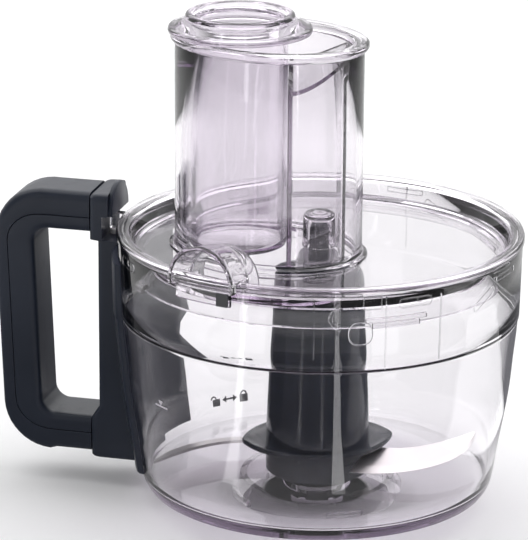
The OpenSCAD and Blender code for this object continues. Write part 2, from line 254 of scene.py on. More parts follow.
def clear_plastic(name, tint, depth, rough=0.015, wave=0.02):
    """Moulded clear plastic: it takes its tint from the path through it, and has a faint moulding
    ripple and fine handling marks."""
    kit = Kit(name)
    marks = kit.noise(900, 2.0, (1, 1, 0.15))
    haze = kit.noise(35, 2.0)
    surface = kit.node("ShaderNodeBsdfPrincipled", {}, {
        "Base Color": rgb(0.995, 0.99, 0.997),
        "Roughness": rough * 0.6 + haze * rough + marks.above(0.68, 0.05) * 0.03,
        "IOR": 1.5,
        "Transmission Weight": 1.0,
        "Normal": kit.bump(kit.noise(24, 1.0, (1, 1, 0.35)), wave, 0.002),
    })
    shadow = kit.node("ShaderNodeBsdfTransparent", {}, {"Color": rgb(0.93, 0.92, 0.94)})
    is_shadow = kit.node("ShaderNodeLightPath", out=1)
    both = kit.node("ShaderNodeMixShader", {}, {0: is_shadow, 1: surface, 2: shadow})
    body = kit.node("ShaderNodeVolumeAbsorption", {}, {"Color": (*tint, 1), "Density": depth})
    return kit.finish(both, body)


def navy_plastic(name, base, rough, specular):
    """Dark slate-navy moulded plastic with a satin sheen and a very fine spark texture."""
    kit = Kit(name)
    grain = kit.noise(2600, 2.0)
    cloud = kit.noise(28, 3.0)
    rubbed = kit.noise(160, 4.0, (1, 1, 0.5)).above(0.62, 0.1)
    lighter = tuple(min(1, c * 1.5 + 0.004) for c in base)
    colour = kit.mix(cloud.above(0.5, 0.25) * 0.6, (*base, 1), (*lighter, 1))
    surface = kit.node("ShaderNodeBsdfPrincipled", {}, {
        "Base Color": colour,
        "Roughness": rough + cloud * 0.08 + rubbed * 0.05,
        "Specular IOR Level": specular,
        "Normal": kit.bump(grain, 0.12 if rough > 0.2 else 0.02, 0.0002),
    })
    return kit.finish(surface)


def dark_plastic():
    kit = Kit("charcoal_plastic")
    grain = kit.noise(1800, 2.0)
    cloud = kit.noise(60, 2.0)
    colour = kit.mix(cloud, rgb(0.035, 0.035, 0.04), rgb(0.06, 0.06, 0.066))
    return kit.finish(kit.node("ShaderNodeBsdfPrincipled", {}, {
        "Base Color": colour, "Roughness": 0.42 + grain * 0.15, "IOR": 1.48,
        "Normal": kit.bump(grain, 0.2, 0.0002)}))


def white_plastic():
    kit = Kit("white_acetal")
    cloud = kit.noise(80, 2.0)
    colour = kit.mix(cloud, rgb(0.70, 0.70, 0.68), rgb(0.8, 0.8, 0.78))
    return kit.finish(kit.node("ShaderNodeBsdfPrincipled", {}, {
        "Base Color": colour, "Roughness": 0.35 + cloud * 0.1, "IOR": 1.48,
        "Normal": kit.bump(cloud, 0.1, 0.0003)}))


def steel(name, base, rough, stretch):
    """Ground stainless steel with fine lines along one direction."""
    kit = Kit(name)
    lines = kit.noise(700, 3.0, stretch, 0.65)
    cloud = kit.noise(40, 2.0)
    colour = kit.mix(lines, (*[c * 0.86 for c in base], 1), (*base, 1))
    return kit.finish(kit.node("ShaderNodeBsdfPrincipled", {}, {
        "Base Color": colour, "Metallic": 1.0, "Roughness": rough + lines * 0.14 + cloud * 0.05,
        "Normal": kit.bump(lines, 0.12, 0.0002)}))


def seal_rubber():
    kit = Kit("seal_rubber")
    grain = kit.noise(1400, 3.0)
    colour = kit.mix(grain, rgb(0.012, 0.012, 0.013), rgb(0.03, 0.03, 0.032))
    return kit.finish(kit.node("ShaderNodeBsdfPrincipled", {}, {
        "Base Color": colour, "Roughness": 0.6 + grain * 0.2, "Normal": kit.bump(grain, 0.3, 0.0003)}))


def print_ink(name, base):
    kit = Kit(name)
    speck = kit.noise(2200, 2.0)
    colour = kit.mix(speck.above(0.6, 0.1), (*base, 1), (*[c * 1.3 + 0.03 for c in base], 1))
    return kit.finish(kit.node("ShaderNodeBsdfPrincipled", {}, {
        "Base Color": colour, "Roughness": 0.45 + speck * 0.2, "Normal": kit.bump(speck, 0.1, 0.0001)}))


CLEAR = clear_plastic("clear_bowl_plastic", (0.36, 0.27, 0.40), 20.0)
CLEAR_LID = clear_plastic("clear_lid_plastic", (0.40, 0.27, 0.44), 28.0)
LILAC = clear_plastic("lilac_pusher_plastic", (0.43, 0.25, 0.49), 44.0)
NAVY = navy_plastic("navy_satin_plastic", (0.012, 0.016, 0.027), 0.30, 0.3)
NAVY_GLOSS = navy_plastic("navy_gloss_plastic", (0.005, 0.007, 0.014), 0.10, 0.45)
CHARCOAL = dark_plastic()
WHITE = white_plastic()
STEEL = steel("turned_steel", (0.62, 0.62, 0.64), 0.25, (1, 1, 12))
BLADE = steel("ground_blade_steel", (0.80, 0.76, 0.76), 0.22, (14, 1, 1))
RUBBER = seal_rubber()
INK = print_ink("print_ink", (0.05, 0.05, 0.055))
PALE_INK = print_ink("pale_print_ink", (0.5, 0.48, 0.52))


# ---------------------------------------------------------------- shape building

def piece(name, verts, faces, material, body, slot, replaces=(), smooth=32, merge=1e-6):
    """Makes a piece from points in millimetres, closes and orients it, hangs it on its body's empty and
    hides the CAD parts it replaces.
    """
    mesh = bpy.data.meshes.new(name)
    bm = bmesh.new()
    made = [bm.verts.new([c * MM for c in v]) for v in verts]
    for face in faces:
        loop = [made[i] for i in face]
        if len(set(loop)) > 2:
            try:
                bm.faces.new(loop)
            except ValueError:
                pass
    bmesh.ops.remove_doubles(bm, verts=bm.verts, dist=merge)
    bmesh.ops.dissolve_degenerate(bm, dist=merge, edges=bm.edges)
    bmesh.ops.recalc_face_normals(bm, faces=bm.faces)
    bm.to_mesh(mesh)
    bm.free()
    for polygon in mesh.polygons:
        polygon.use_smooth = True
    mesh.set_sharp_from_angle(angle=math.radians(smooth))
    mesh.materials.append(material)
    thing = bpy.data.objects.new(name, mesh)
    bpy.context.scene.collection.objects.link(thing)
    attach(thing, body)
    if replaces:
        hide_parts(*replaces)
    return thing


def rounded(points, radii, steps=4):
    """Rounds the corners of a closed outline. radii is one radius, or one for each point."""
    if not isinstance(radii, (list, tuple)):
        radii = [radii] * len(points)
    out = []
    count = len(points)
    for i, (p, radius) in enumerate(zip(points, radii)):
        p = Vector(p)
        back = Vector(points[i - 1]) - p
        ahead = Vector(points[(i + 1) % count]) - p
        if radius <= 0 or back.length < 1e-6 or ahead.length < 1e-6:
            out.append(tuple(p))
            continue
        half = back.angle(ahead) / 2
        if half > math.radians(88):
            out.append(tuple(p))
            continue
        reach = min(radius / math.tan(half), back.length * 0.48, ahead.length * 0.48)
        a = p + back.normalized() * reach
        b = p + ahead.normalized() * reach
        for k in range(steps + 1):
            t = k / steps
            out.append(tuple(a * (1 - t) ** 2 + p * 2 * t * (1 - t) + b * t ** 2))
    return out


def circle_at(x, y):
    return lambda turn, t: (x + t * math.cos(turn), y + t * math.sin(turn))


AXIS = circle_at(0, 0)


def tube_oval(turn, t):
    """Point on the feed tube's oval, moved outwards by t."""
    x, y = (TUBE_A + t) * math.cos(turn), (TUBE_B + t) * math.sin(turn)
    c, s = math.cos(TUBE_TURN), math.sin(TUBE_TURN)
    return TUBE_CENTRE[0] + x * c - y * s, TUBE_CENTRE[1] + x * s + y * c


def at_ring(radius):
    return lambda turn: (radius * math.cos(turn), radius * math.sin(turn))


def at_tube(t):
    """The tube's oval moved outwards by t, started so that it lines up with a ring round the axis."""
    return lambda turn: tube_oval(turn - TUBE_TURN, t)


def at_pusher(t, wall_x):
    """The large pusher's oval, cut flat at its end wall."""
    def place(turn):
        x, y = tube_oval(turn, PUSHER_IN + t)
        return min(x, wall_x + t), y
    return place


def swept(profile, outline=AXIS, count=160, start=0.0, span=TAU):
    """Carries a closed profile round an outline. A profile point is (offset from the outline, height) or
    (function of the turn, height). Returns points and faces."""
    whole = abs(span - TAU) < 1e-6
    stations = count if whole else count + 1
    verts = []
    for i in range(stations):
        turn = start + span * i / count
        verts += [(*(t(turn) if callable(t) else outline(turn, t)), z) for t, z in profile]
    n = len(profile)
    faces = []
    for i in range(count):
        j = (i + 1) % stations
        for k in range(n):
            m = (k + 1) % n
            faces.append((i * n + k, j * n + k, j * n + m, i * n + m))
    if not whole:
        faces.append(tuple(range(n)))
        faces.append(tuple(count * n + k for k in range(n)))
    return verts, faces


def joined(*parts):
    """Joins several (points, faces) pairs."""
    verts, faces = [], []
    for more_verts, more_faces in parts:
        base = len(verts)
        verts += more_verts
        faces += [tuple(base + i for i in face) for face in more_faces]
    return verts, faces


def lofted(loops, closed=False):
    """Skins closed loops of the same length, with a cap at each end."""
    n = len(loops[0])
    verts = [p for loop in loops for p in loop]
    faces = []
    for i in range(len(loops) - (0 if closed else 1)):
        j = (i + 1) % len(loops)
        for k in range(n):
            m = (k + 1) % n
            faces.append((i * n + k, i * n + m, j * n + m, j * n + k))
    if not closed:
        faces.append(tuple(range(n)))
        faces.append(tuple((len(loops) - 1) * n + k for k in range(n)))
    return verts, faces


def turned_about(points, angle):
    c, s = math.cos(angle), math.sin(angle)
    return [(x * c - y * s, x * s + y * c, z) for x, y, z in points]


def smooth_curve(points, steps):
    """Catmull-Rom curve through points."""
    out = []
    for i in range(len(points) - 1):
        p0 = Vector(points[max(i - 1, 0)])
        p1, p2 = Vector(points[i]), Vector(points[i + 1])
        p3 = Vector(points[min(i + 2, len(points) - 1)])
        for k in range(steps):
            t = k / steps
            out.append(tuple(0.5 * (2 * p1 + (p2 - p0) * t + (2 * p0 - 5 * p1 + 4 * p2 - p3) * t * t
                                    + (3 * p1 - p0 - 3 * p2 + p3) * t ** 3)))
    out.append(tuple(points[-1]))
    return out


# ---------------------------------------------------------------- geometry rules

class Rule(Graph):
    """A geometry tree with named sizes. Each use of it gives one plain mesh."""

    def __init__(self, name, sizes, material):
        super().__init__(bpy.data.node_groups.new(name, "GeometryNodeTree"))
        self.material = material
        self.keys = {}
        for label, value in sizes.items():
            kind = "NodeSocketInt" if isinstance(value, int) else "NodeSocketFloat"
            socket = self.tree.interface.new_socket(label, in_out="INPUT", socket_type=kind)
            socket.default_value = value
            self.keys[label] = socket.identifier
        self.tree.interface.new_socket("Shape", in_out="OUTPUT", socket_type="NodeSocketGeometry")
        self.given = self.tree.nodes.new("NodeGroupInput")

    def size(self, label):
        return Value(self, self.given.outputs[label])

    def close(self, shape):
        whole = self.node("GeometryNodeRealizeInstances", {}, {0: shape})
        painted = self.node("GeometryNodeSetMaterial", {}, {"Geometry": whole, "Material": self.material})
        self.node("NodeGroupOutput", {}, {0: painted})

    def shape(self, name, body, slot, replaces=(), smooth=32, **sizes):
        """Runs the tree with these sizes, keeps the result as a mesh, and makes it a piece on its body."""
        maker = bpy.data.objects.new(name + "_rule", bpy.data.meshes.new(name + "_rule"))
        bpy.context.scene.collection.objects.link(maker)
        modifier = maker.modifiers.new("rule", "NODES")
        modifier.node_group = self.tree
        for label, value in sizes.items():
            modifier[self.keys[label]] = value
        bpy.context.view_layer.update()
        seen = maker.evaluated_get(bpy.context.evaluated_depsgraph_get())
        mesh = bpy.data.meshes.new_from_object(seen)
        maker.modifiers.remove(modifier)
        bpy.data.objects.remove(maker)
        verts = [v.co / MM for v in mesh.vertices]
        faces = [tuple(polygon.vertices) for polygon in mesh.polygons]
        bpy.data.meshes.remove(mesh)
        return piece(name, verts, faces, self.material, body, slot, replaces, smooth)


def bars_rule(name, material):
    """Bars of one size, spread evenly round the drive axis. Lengths are in metres, angles in radians."""
    rule = Rule(name, {"count": 4, "start": 0.0, "span": 0.3, "inner": 0.09, "outer": 0.092, "foot": 0.1,
                       "height": 0.002, "corner": 0.0003}, material)
    inner, outer, height, span = (rule.size(k) for k in ("inner", "outer", "height", "span"))
    path = rule.node("GeometryNodeCurveArc", {"mode": "RADIUS"}, {
        "Resolution": 24, "Radius": (inner + outer) / 2.0, "Start Angle": span * -0.5, "Sweep Angle": span})
    outline = rule.node("GeometryNodeCurvePrimitiveQuadrilateral", {"mode": "RECTANGLE"}, {
        "Width": outer - inner, "Height": height})
    outline = rule.node("GeometryNodeFilletCurve", {"mode": "POLY"}, {
        "Curve": outline, "Count": 3, "Radius": rule.size("corner")})
    bar = rule.node("GeometryNodeCurveToMesh", {}, {
        "Curve": path, "Profile Curve": outline, "Fill Caps": True})
    bar = rule.node("GeometryNodeTransform", {}, {
        "Geometry": bar, "Translation": rule.vector(0.0, 0.0, rule.size("foot") + height / 2.0)})
    places = rule.node("GeometryNodeMeshLine", {}, {
        "Count": rule.size("count"), "Offset": (0.0, 0.0, 0.0)})
    index = rule.node("GeometryNodeInputIndex")
    turn = rule.vector(0.0, 0.0, rule.size("start") + index * TAU / rule.size("count"))
    rule.close(rule.node("GeometryNodeInstanceOnPoints", {}, {
        "Points": places, "Instance": bar, "Rotation": turn}))
    return rule


def blade_rule(material):
    """Scimitar blade: its middle line sweeps round as it runs out, its width falls to a point, it is
    pitched about its middle line, and its leading side is ground to an edge."""
    rule = Rule("blade_rule", {"root": 0.024, "reach": 0.078, "start": -0.6, "sweep": 0.8, "width": 0.021,
                               "taper": 0.0055, "point": 0.0046, "thick": 0.0014, "foot": 0.02,
                               "pitch": 0.25, "lift": 0.0}, material)
    block = rule.node("GeometryNodeMeshCube", {}, {
        "Size": (1.0, 1.0, 1.0), "Vertices X": 41, "Vertices Y": 11, "Vertices Z": 3})
    x, y, z = rule.parts(rule.node("GeometryNodeInputPosition"))
    run, across = (x + 0.5).at_least(0.0), y * 2.0
    root, length = rule.size("root"), rule.size("reach") - rule.size("root")
    radius = root + length * run
    angle = rule.size("start") + rule.size("sweep") * run ** 1.15
    bend = rule.size("sweep") * 1.15 * (run + 0.0001) ** 0.15 * radius
    speed = (length * length + bend * bend).root()
    ahead_x = (length * angle.cos() - bend * angle.sin()) / speed
    ahead_y = (length * angle.sin() + bend * angle.cos()) / speed
    half = rule.size("width") / 2.0 - rule.size("taper") * run - rule.size("point") * run ** 6.0
    offset = half * across
    place_x = radius * angle.cos() - ahead_y * offset
    place_y = radius * angle.sin() + ahead_x * offset
    # the root follows the hub
    grow = (root / (place_x * place_x + place_y * place_y).root()).at_least(1.0)
    ground = ((across + 1.0) / 0.4).at_least(0.1).at_most(1.0)
    height = (rule.size("foot") + rule.size("thick") * (0.5 + z * ground) + offset * rule.size("pitch")
              + rule.size("lift") * run * run)
    rule.close(rule.node("GeometryNodeSetPosition", {}, {
        "Geometry": block, "Position": rule.vector(place_x * grow, place_y * grow, height)}))
    return rule


# ---------------------------------------------------------------- bowl

def bowl():
    below_step = [(r, z) for z, r in WALL if FOOT_Z < z <= STEP_Z]
    outer = smooth_curve(below_step, 5)
    inner = [(r - WALL_T, z) for r, z in outer if z > 20][::-1]
    profile = (
        [(BOSS_BORE_R, FOOT_Z), (79, FOOT_Z), (80.8, FOOT_Z + 0.2)] + outer
        + [(93.15, 94.3), (93.5, 94.8), (93.8, 110)]
        + [(94.2, BOWL_TOP - 0.8), (93.9, BOWL_TOP - 0.2), (93.4, BOWL_TOP), (92.6, BOWL_TOP),
           (92.15, BOWL_TOP - 0.3), (92, BOWL_TOP - 1)]
        + [(92, 104), (91.85, STEP_Z + 1.3), (91.6, STEP_Z + 0.9)] + inner
        + [(80.9, FLOOR_Z + 4), (80.6, FLOOR_Z + 2.4), (79.8, FLOOR_Z + 1), (78.5, FLOOR_Z + 0.2),
           (77, FLOOR_Z)]
        + [(BOSS_R + 1.5, FLOOR_Z), (BOSS_R + 0.4, FLOOR_Z + 0.4), (BOSS_R, FLOOR_Z + 1.5)]
        + [(BOSS_R, BOSS_TOP - 0.6), (BOSS_R - 0.6, BOSS_TOP), (8, BOSS_TOP), (8, BOSS_TOP - 6),
           (BOSS_BORE_R, BOSS_TOP - 6)]
    )
    return piece("bowl_body", *swept(profile, count=192), CLEAR, "bowl_body", "clear_plastic", ["bowl"])


def box_outline(x0, x1, y0, y1):
    return [(x0, y0), (x1, y0), (x1, y1), (x0, y1)]


def raised_bar(az, span, z0, z1, r_in, r_out, count=14, corner=0.35):
    """A block that follows a ring over one angle. az, its middle, and span are in degrees."""
    az, span = math.radians(az), math.radians(span)
    profile = rounded(box_outline(r_in, r_out, z0, z1), corner, 3)
    return swept(profile, AXIS, count, az - span / 2, span)


def bowl_ramps():
    """Ramps inside the rim that the lid locks under."""
    return CLEAR_BARS.shape(
        "rim_ramps", "bowl_body", "clear_plastic", count=LUG_COUNT, start=LUG_AZ, span=math.radians(18),
        inner=90.4 * MM, outer=91.98 * MM, foot=(LUG_Z + LUG_H + 0.3) * MM, height=2 * MM,
        corner=0.35 * MM)


def wall_ribs():
    """Slim upright ribs on the wall between the step and the rim."""
    parts = []
    for az, foot, top in ((-91.3, 101, 129), (-71.7, 95, 129.4), (-55.1, 96, 127.5), (18, 96, 128),
                          (63, 96, 128), (108, 96, 128), (135, 96, 128)):
        a = math.radians(az)
        half = math.radians(0.16)
        loops = []
        for z in (foot, foot + 1, top - 1, top):
            r0 = wall_r(z) + 0.02
            r1 = r0 + (0.3 if foot < z < top else 0.06)
            loops.append([(r * math.cos(b), r * math.sin(b), z)
                          for r, b in ((r0, a - half), (r1, a - half), (r1, a + half), (r0, a + half))])
        parts.append(lofted(loops))
    return piece("wall_ribs", *joined(*parts), CLEAR, "bowl_body", "clear_plastic")


def wall_bead(path, radius, sides=8, closed=False):
    """A slim raised bead whose path is given as (angle in degrees, height) on the wall's outside."""
    points = []
    for az, z in path:
        a, r = math.radians(az), wall_r(z) + radius * 0.5
        points.append(Vector((r * math.cos(a), r * math.sin(a), z)))
    loops = []
    count = len(points)
    for i, p in enumerate(points):
        ahead = points[(i + 1) % count] if closed or i < count - 1 else p
        back = points[i - 1] if closed or i else p
        along = (ahead - back).normalized()
        out = Vector((p.x, p.y, 0)).normalized()
        side = along.cross(out).normalized()
        up = side.cross(along)
        turns = [TAU * k / sides for k in range(sides)]
        loops.append([tuple(p + (side * math.cos(t) + up * math.sin(t) * 0.45) * radius) for t in turns])
    return lofted(loops, closed)


def moulded_outlines():
    """Outlines moulded into the wall: a round pad, a double hook, a box and the slots of the lid lock."""
    mm_deg = 1 / (93.8 * math.radians(1))

    def oval(az, z, width, height, corner=None, turn=0.0):
        h, w = height / 2, width / 2
        r = min(h, w) if corner is None else corner
        c, s = math.cos(math.radians(turn)), math.sin(math.radians(turn))
        loop = rounded([(-w, -h), (w, -h), (w, h), (-w, h)], r * 1.5, 7)
        return [(az + (x * c - y * s) * mm_deg, z + x * s + y * c) for x, y in loop]

    parts = [wall_bead(oval(-78.7, 112.8, 10.4, 10.4), 0.36, closed=True)]
    for grow, thin in ((0, 0.34), (-1.5, 0.2)):
        arc = [(-83.6 + (6.0 + grow) * mm_deg * math.cos(math.radians(a)),
                120 + (5.4 + grow) * math.sin(math.radians(a))) for a in range(100, 264, 8)]
        parts.append(wall_bead(arc, thin))
    parts.append(wall_bead(oval(-75.5, 126.6, 8.2, 5.4, 0.5), 0.26, closed=True))
    for az in (-63, 27, 117, 202):
        parts.append(wall_bead(oval(az, 125.4, 16, 4.2), 0.3, closed=True))
        hook = [(az + 0.4, 127.6), (az + 0.4, 125.6), (az + 0.9, 125.2), (az + 1.6, 125.4)]
        parts.append(wall_bead(hook, 0.25))
    for az in (-38, 52, 142):
        parts.append(wall_bead(oval(az, 118.6, 16, 3.4, turn=26), 0.32, closed=True))
        parts.append(wall_bead(oval(az + 11.5, 125.6, 19, 2.2, 0.4), 0.3, closed=True))
    return piece("wall_outlines", *joined(*parts), CLEAR, "bowl_body", "clear_plastic")


def bayonet_collar():
    top = FOOT_Z - SEAM
    profile = rounded(box_outline(COLLAR_R_IN, COLLAR_R_OUT, 0, top), 0.5, 3)
    piece("bayonet_collar_ring", *swept(profile, count=128), CLEAR, "bowl_body", "clear_plastic",
          ["bayonet_collar"])
    CLEAR_BARS.shape(
        "bayonet_lugs", "bowl_body", "clear_plastic", count=LUG_COUNT, start=math.radians(20),
        span=math.radians(26), inner=(COLLAR_R_OUT + SEAM) * MM, outer=39 * MM, foot=2 * MM,
        height=3.5 * MM, corner=0.5 * MM)


# ---------------------------------------------------------------- handle

def in_handle(points):
    """From (distance from the axis, sideways, height) to the row frame."""
    return turned_about(points, HANDLE_AZ)


def section(width, v0, v1, corner_in, corner_out):
    """Rounded box across the grip: sideways, then from the hole side to the outer side."""
    outline = box_outline(-width / 2, width / 2, v0, v1)
    return rounded(outline, [corner_in, corner_in, corner_out, corner_out], 5)


def grip_path():
    """Stations round the finger hole, from the spine's top to its foot: a point on the grip's inner face
    and the direction that is outwards there, in degrees."""
    def corner(centre, a):
        turn = math.radians(a)
        return (centre[0] + HOLE_R * math.cos(turn), centre[1] + HOLE_R * math.sin(turn)), a

    top = (GRIP_IN - HOLE_R, HOLE_Z1 - HOLE_R)
    low = (GRIP_IN - 3 - HOLE_R, HOLE_Z0 + HOLE_R)
    stations = [((GRIP_START + (top[0] - GRIP_START) * k / 6, HOLE_Z1), 90) for k in range(7)]
    stations += [corner(top, 90 - 90 * k / 12) for k in range(1, 13)]
    stations += [((GRIP_IN - 3 * k / 12, top[1] + (low[1] - top[1]) * k / 12), 0) for k in range(1, 12)]
    stations += [corner(low, -90 * k / 12) for k in range(13)]
    stations += [((low[0] + (GRIP_START - low[0]) * k / 6, HOLE_Z0), -90) for k in range(1, 7)]
    return stations


def grip_thickness(a):
    """How thick the whole grip is at a station that faces this way, in degrees."""
    if a in (90, 0, -90):
        return {90: 19.0, 0: 19.2, -90: 18.0}[a]
    return 19.0 + 1.2 * abs(math.sin(math.radians(2 * a)))


def grip_split(a):
    """How much of that thickness belongs to the inner shell."""
    share = 1 - abs(a) / 90
    share = share * share * (3 - 2 * share)
    return (7.0 if a > 0 else 8.0) * (1 - share) + 12.5 * share


def grip_shell(name, part, node):
    loops = []
    for (x, z), a in grip_path():
        out = Vector((math.cos(math.radians(a)), math.sin(math.radians(a))))
        if part == "inner":
            loop = section(GRIP_W, 0, grip_split(a), 3.4, 0.35)
        else:
            loop = section(GRIP_W, grip_split(a) + 0.25, grip_thickness(a), 0.35, 4.6)
        loops.append(in_handle([(x + out.x * v, u, z + out.y * v) for u, v in loop]))
    return piece(name, *lofted(loops), NAVY, "bowl_body", "navy_plastic", [node], smooth=40)


def handle_spine():
    """Upright that backs onto the bowl's wall, with the slot for the lid's cam near its top."""
    foot = ARM_BOTTOM - 2
    heights = [foot, foot + 0.5, foot + 1.5, 24, HOLE_Z0, 40, 57, 76, 94, 110, 120, 122.6, CAM_FOOT,
               CAM_FOOT + 0.01, CAM_TOP, CAM_TOP + 0.01, 134.9, 140, ARM_TOP - 1.6, ARM_TOP - 0.5, ARM_TOP]
    loops = []
    for z in heights:
        if z <= CAM_FOOT:
            near = wall_r(z) + 0.15
        elif z <= CAM_TOP:
            near = 102.6
        else:
            near = 99.6
        in_hole = HOLE_Z0 + 3 < z < HOLE_Z1 - 3
        far = SPINE_X if in_hole else GRIP_START - 0.1
        edge = 0.0
        if z < foot + 1.4:
            edge = 1.4 * (1 - min(1, (z - foot) / 1.4)) ** 2
        if z > ARM_TOP - 1.6:
            edge = 1.6 * (1 - (ARM_TOP - z) / 1.6) ** 2
        half = SPINE_W / 2 - edge
        across = [-half + half * k / 4 for k in range(9)]
        arc = [(math.sqrt(max(near * near - y * y, 1)), y) for y in across]
        far -= edge
        far_side = rounded([(arc[-1][0], half), (far, half), (far, -half), (arc[0][0], -half)],
                           [0, 3.4, 3.4, 0], 6)
        loops.append(in_handle([(x, y, z) for x, y in arc + far_side[1:-1]]))
    return piece("handle_upright", *lofted(loops), NAVY, "bowl_body", "navy_plastic", ["handle_spine"],
                 smooth=40)


def handle_saddle():
    """Wings of the upright, which hug the bowl's wall on both sides of it."""
    heights = [17.3, 18, 24, 32, 45, 57, 66, 76, 86, 94, 94.8, 102, 110, 118, 120.3, 121]
    half = SADDLE_SPAN / 2
    loops = []
    steps = 44
    for i in range(steps + 1):
        share = 2 * i / steps - 1
        turn = half * math.copysign(abs(share) ** 0.7, share)
        from_edge = (half - abs(turn)) * math.radians(1) * 92
        thick = SADDLE_T * math.sqrt(max(0.06, 1 - max(0, 1 - from_edge / 2.2) ** 2))
        a = math.radians(turn)
        outer, inner = [], []
        for z in heights:
            near_end = min(z - heights[0], heights[-1] - z)
            r = wall_r(z) + 0.15 + (thick - 0.15) * (1 if near_end > 0.6 else 0.72)
            outer.append((r * math.cos(a), r * math.sin(a), z))
            r = wall_r(z) + 0.12
            inner.append((r * math.cos(a), r * math.sin(a), z))
        loops.append(in_handle(outer + inner[::-1]))
    return piece("handle_saddle", *lofted(loops), NAVY, "bowl_body", "navy_plastic", smooth=40)


def thumb_plate():
    """Round-topped plate that stands beside the rim."""
    radius, middle = 14.0, 134.52
    loops = []
    for x, inset in ((96.6, 0.8), (96.9, 0.25), (97.5, 0), (98.6, 0), (99.1, 0.25), (99.45, 0.8)):
        r = radius - inset
        turns = [math.pi * k / 28 for k in range(29)]
        loops.append(in_handle([(x, r * math.cos(t), middle + r * math.sin(t)) for t in turns]))
    return piece("thumb_plate_disc", *lofted(loops), NAVY, "bowl_body", "navy_plastic", ["thumb_plate"],
                 smooth=40)


# ---------------------------------------------------------------- lid

def lid():
    """The lid and its feed tube are one moulding: tube, flare, sunken deck, rim and skirt."""
    low = DECK_Z - DECK_T
    foot = TUBE_LOW.z
    rim = LID_TOP

    def at_deck(share):
        def place(turn):
            (x0, y0), (x1, y1) = at_tube(3.4)(turn), at_ring(80)(turn)
            return x0 + (x1 - x0) * share, y0 + (y1 - y0) * share
        return place

    def rings(points):
        return [(at_ring(r), z) for r, z in points]

    def tubes(points):
        return [(at_tube(t), z) for t, z in points]

    inner = -TUBE_T
    bead = 1.5   # radius of the rim's outer edge
    quarter = [math.radians(15 * k) for k in range(1, 6)]
    profile = (
        tubes([(inner, TUBE_TOP - 0.7), (inner, 180), (inner, DECK_Z + 2), (inner, foot + 0.4),
               (inner + 0.4, foot), (-0.4, foot), (0, foot + 0.4), (0, low - 0.4), (0.4, low)])
        + [(at_deck(0.1), low), (at_deck(0.7), low)]
        + rings([(SKIRT_R - 3.4, low), (SKIRT_R - 2.6, low - 0.6), (SKIRT_R - 2.2, low - 2),
                 (SKIRT_R - 2.2, LUG_Z + 0.5), (SKIRT_R - 1.8, LUG_Z), (SKIRT_R - 0.4, LUG_Z),
                 (SKIRT_R, LUG_Z + 0.5), (SKIRT_R, BOWL_TOP + 0.3), (LID_R - 0.6, BOWL_TOP + 0.3),
                 (LID_R, BOWL_TOP + 0.9), (LID_R, rim - bead)])
        + rings([(LID_R - bead + bead * math.cos(t), rim - bead + bead * math.sin(t)) for t in quarter])
        + rings([(LID_R - 1.6, rim), (LID_R - 3.0, rim), (LID_R - 3.6, rim - 0.4), (LID_R - 4.4, rim - 0.4),
                 (89.6, rim - 0.4), (88.9, rim - 0.6), (88.5, rim - 1.2), (86.4, DECK_Z + 1.6),
                 (85.8, DECK_Z + 0.5), (84.6, DECK_Z)])
        + [(at_deck(0.9), DECK_Z), (at_deck(0.1), DECK_Z)]
        + tubes([(2.6, DECK_Z), (2.4, DECK_Z + 0.9), (2.0, DECK_Z + 1.3), (1.2, DECK_Z + 1.5),
                 (0.5, DECK_Z + 2.2), (0.1, DECK_Z + 3.6), (0, DECK_Z + 6), (0, 180), (0, TUBE_TOP - 0.7),
                 (-0.2, TUBE_TOP - 0.2), (-0.7, TUBE_TOP), (inner + 0.7, TUBE_TOP),
                 (inner + 0.2, TUBE_TOP - 0.2)])
    )
    LID_BARS.shape(
        "lid_lugs", "lid_body", "clear_plastic", count=LUG_COUNT, start=LUG_AZ, span=LUG_SPAN,
        inner=(SKIRT_R + SEAM) * MM, outer=91.6 * MM, foot=LUG_Z * MM, height=LUG_H * MM, corner=0.35 * MM)
    # cam that holds the interlock rod down
    cam = raised_bar(math.degrees(HANDLE_AZ), 3, 126, rim - 0.5, LID_R + SEAM, 101.1, 6)
    return piece("lid_with_feed_tube", *joined(swept(profile, count=192), cam), CLEAR_LID, "lid_body",
                 "clear_plastic", ["lid", "feed_tube"])


def tip_socket():
    """Floor plate in the tube's right end, with a closed socket over the knife's pin."""
    z0, top = SOCKET_LOW.z, SOCKET_HIGH.z
    plate_top = z0 + 1.6
    left = SOCKET_LOW.x
    r, bore = 8.4, 6.0

    def at_plate(turn):
        x, y = tube_oval(turn, -TUBE_T - 0.05)
        return max(x, left), y

    plate = swept([(at_ring(r), z0), (at_plate, z0), (at_plate, plate_top), (at_ring(r), plate_top)])
    socket = [(bore, z0), (r, z0), (r, plate_top), (8.1, plate_top + 1), (7.8, top - 1.4), (7.4, top - 0.5),
              (6.6, top), (4.6, top), (4.3, top - 0.35), (3.7, top - 0.35), (3.4, top), (1.4, top),
              (1.2, top - 0.3), (0, top - 0.3), (0, top - 2.5), (5.4, top - 2.5), (bore, top - 3.2)]
    return piece("knife_tip_socket", *joined(plate, swept(socket, count=96)), CLEAR_LID, "lid_body",
                 "clear_plastic", ["tip_socket"])


